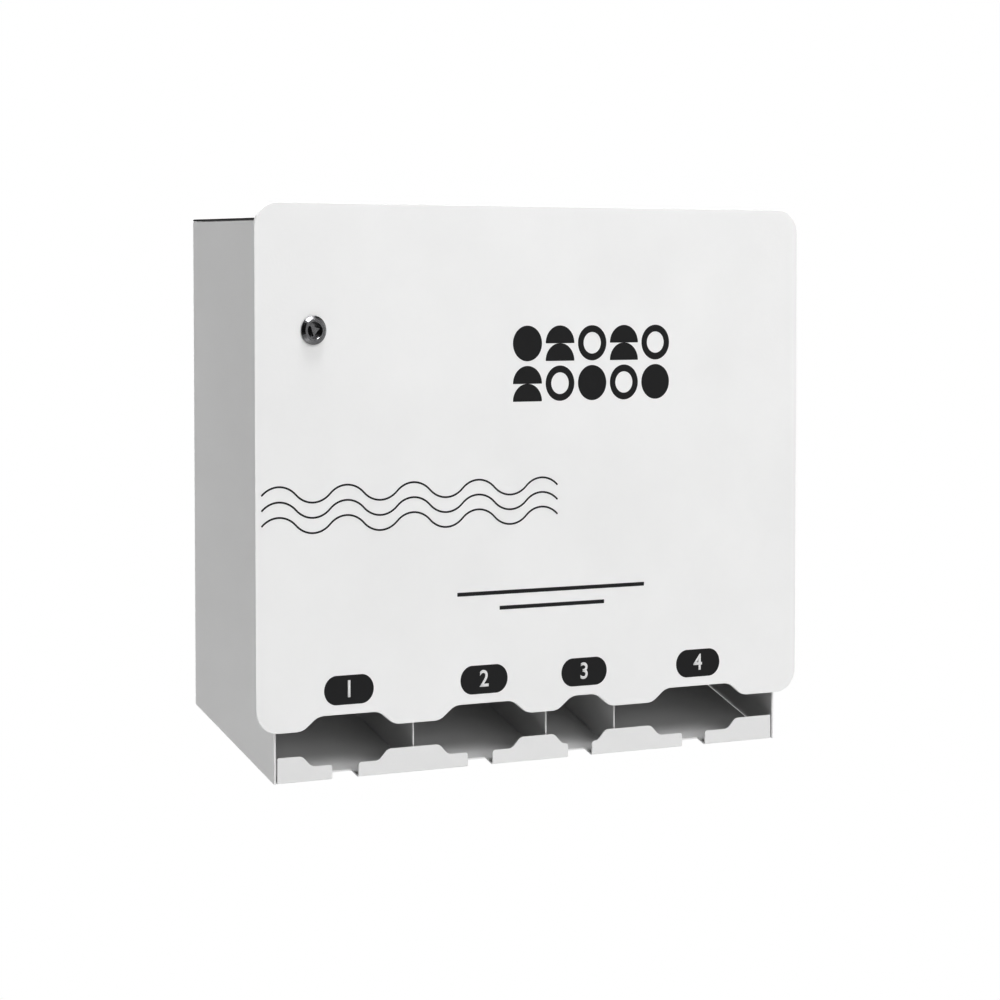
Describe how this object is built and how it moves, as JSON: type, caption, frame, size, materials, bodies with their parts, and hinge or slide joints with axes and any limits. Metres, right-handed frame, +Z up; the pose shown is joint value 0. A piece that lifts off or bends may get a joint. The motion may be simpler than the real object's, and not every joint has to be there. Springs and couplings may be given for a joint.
{
  "type": "sanitary product dispenser",
  "caption": "Wall-hung steel dispenser with a flat hinged door over divided stacks that slide to a scalloped, notched tray lip",
  "frame": {"origin": "on the outer face of the cabinet's back, which meets the wall, midway between the four wall screw holes and 0.2 m above the lowest edge of the sides", "axes": "+X is right seen from the front, +Y points back into the wall, +Z is up; the door faces -Y"},
  "size_m": [0.4306, 0.1037, 0.3601],
  "materials": {
    "white_coat": "white powder coat on sheet steel, fine orange peel",
    "zinc": "zinc-plated steel, satin",
    "dark_nickel": "dark nickel plating on zinc casting, semi-gloss",
    "rubber": "black rubber, matt"
  },
  "bodies": {
    "cabinet": {"body_shell": "white_coat", "top_panel": "white_coat", "dispensing_tray": "white_coat", "divider_left": "white_coat", "divider_middle": "white_coat", "divider_right": "white_coat", "lock_keeper": "zinc", "door_bumper_left": "rubber", "door_bumper_right": "rubber", "hinge_lower_body_leaf": "zinc", "hinge_lower_pin": "zinc", "hinge_upper_body_leaf": "zinc", "hinge_upper_pin": "zinc", "hinge_lower_rivet_lower": "zinc", "hinge_lower_rivet_upper": "zinc", "hinge_upper_rivet_lower": "zinc", "hinge_upper_rivet_upper": "zinc"},
    "door": {"door_panel": "white_coat", "hinge_lower_door_leaf": "zinc", "hinge_upper_door_leaf": "zinc", "lock_housing": "dark_nickel", "lock_washer": "zinc", "lock_nut": "zinc"},
    "lock": {"lock_core": "dark_nickel", "lock_cam": "zinc", "cam_washer": "zinc", "cam_screw": "zinc"}
  },
  "joints": [
    {"name": "door_swing", "type": "hinge", "parent": "cabinet", "child": "door", "pos_m": [0.2033, -0.096, 0], "axis": [0, 0, 1], "range_deg": [0, 100]},
    {"name": "lock_turn", "type": "hinge", "parent": "door", "child": "lock", "pos_m": [-0.173, -0.1013, 0.0816], "axis": [0, 1, 0], "range_deg": [0, 90]}
  ]
}
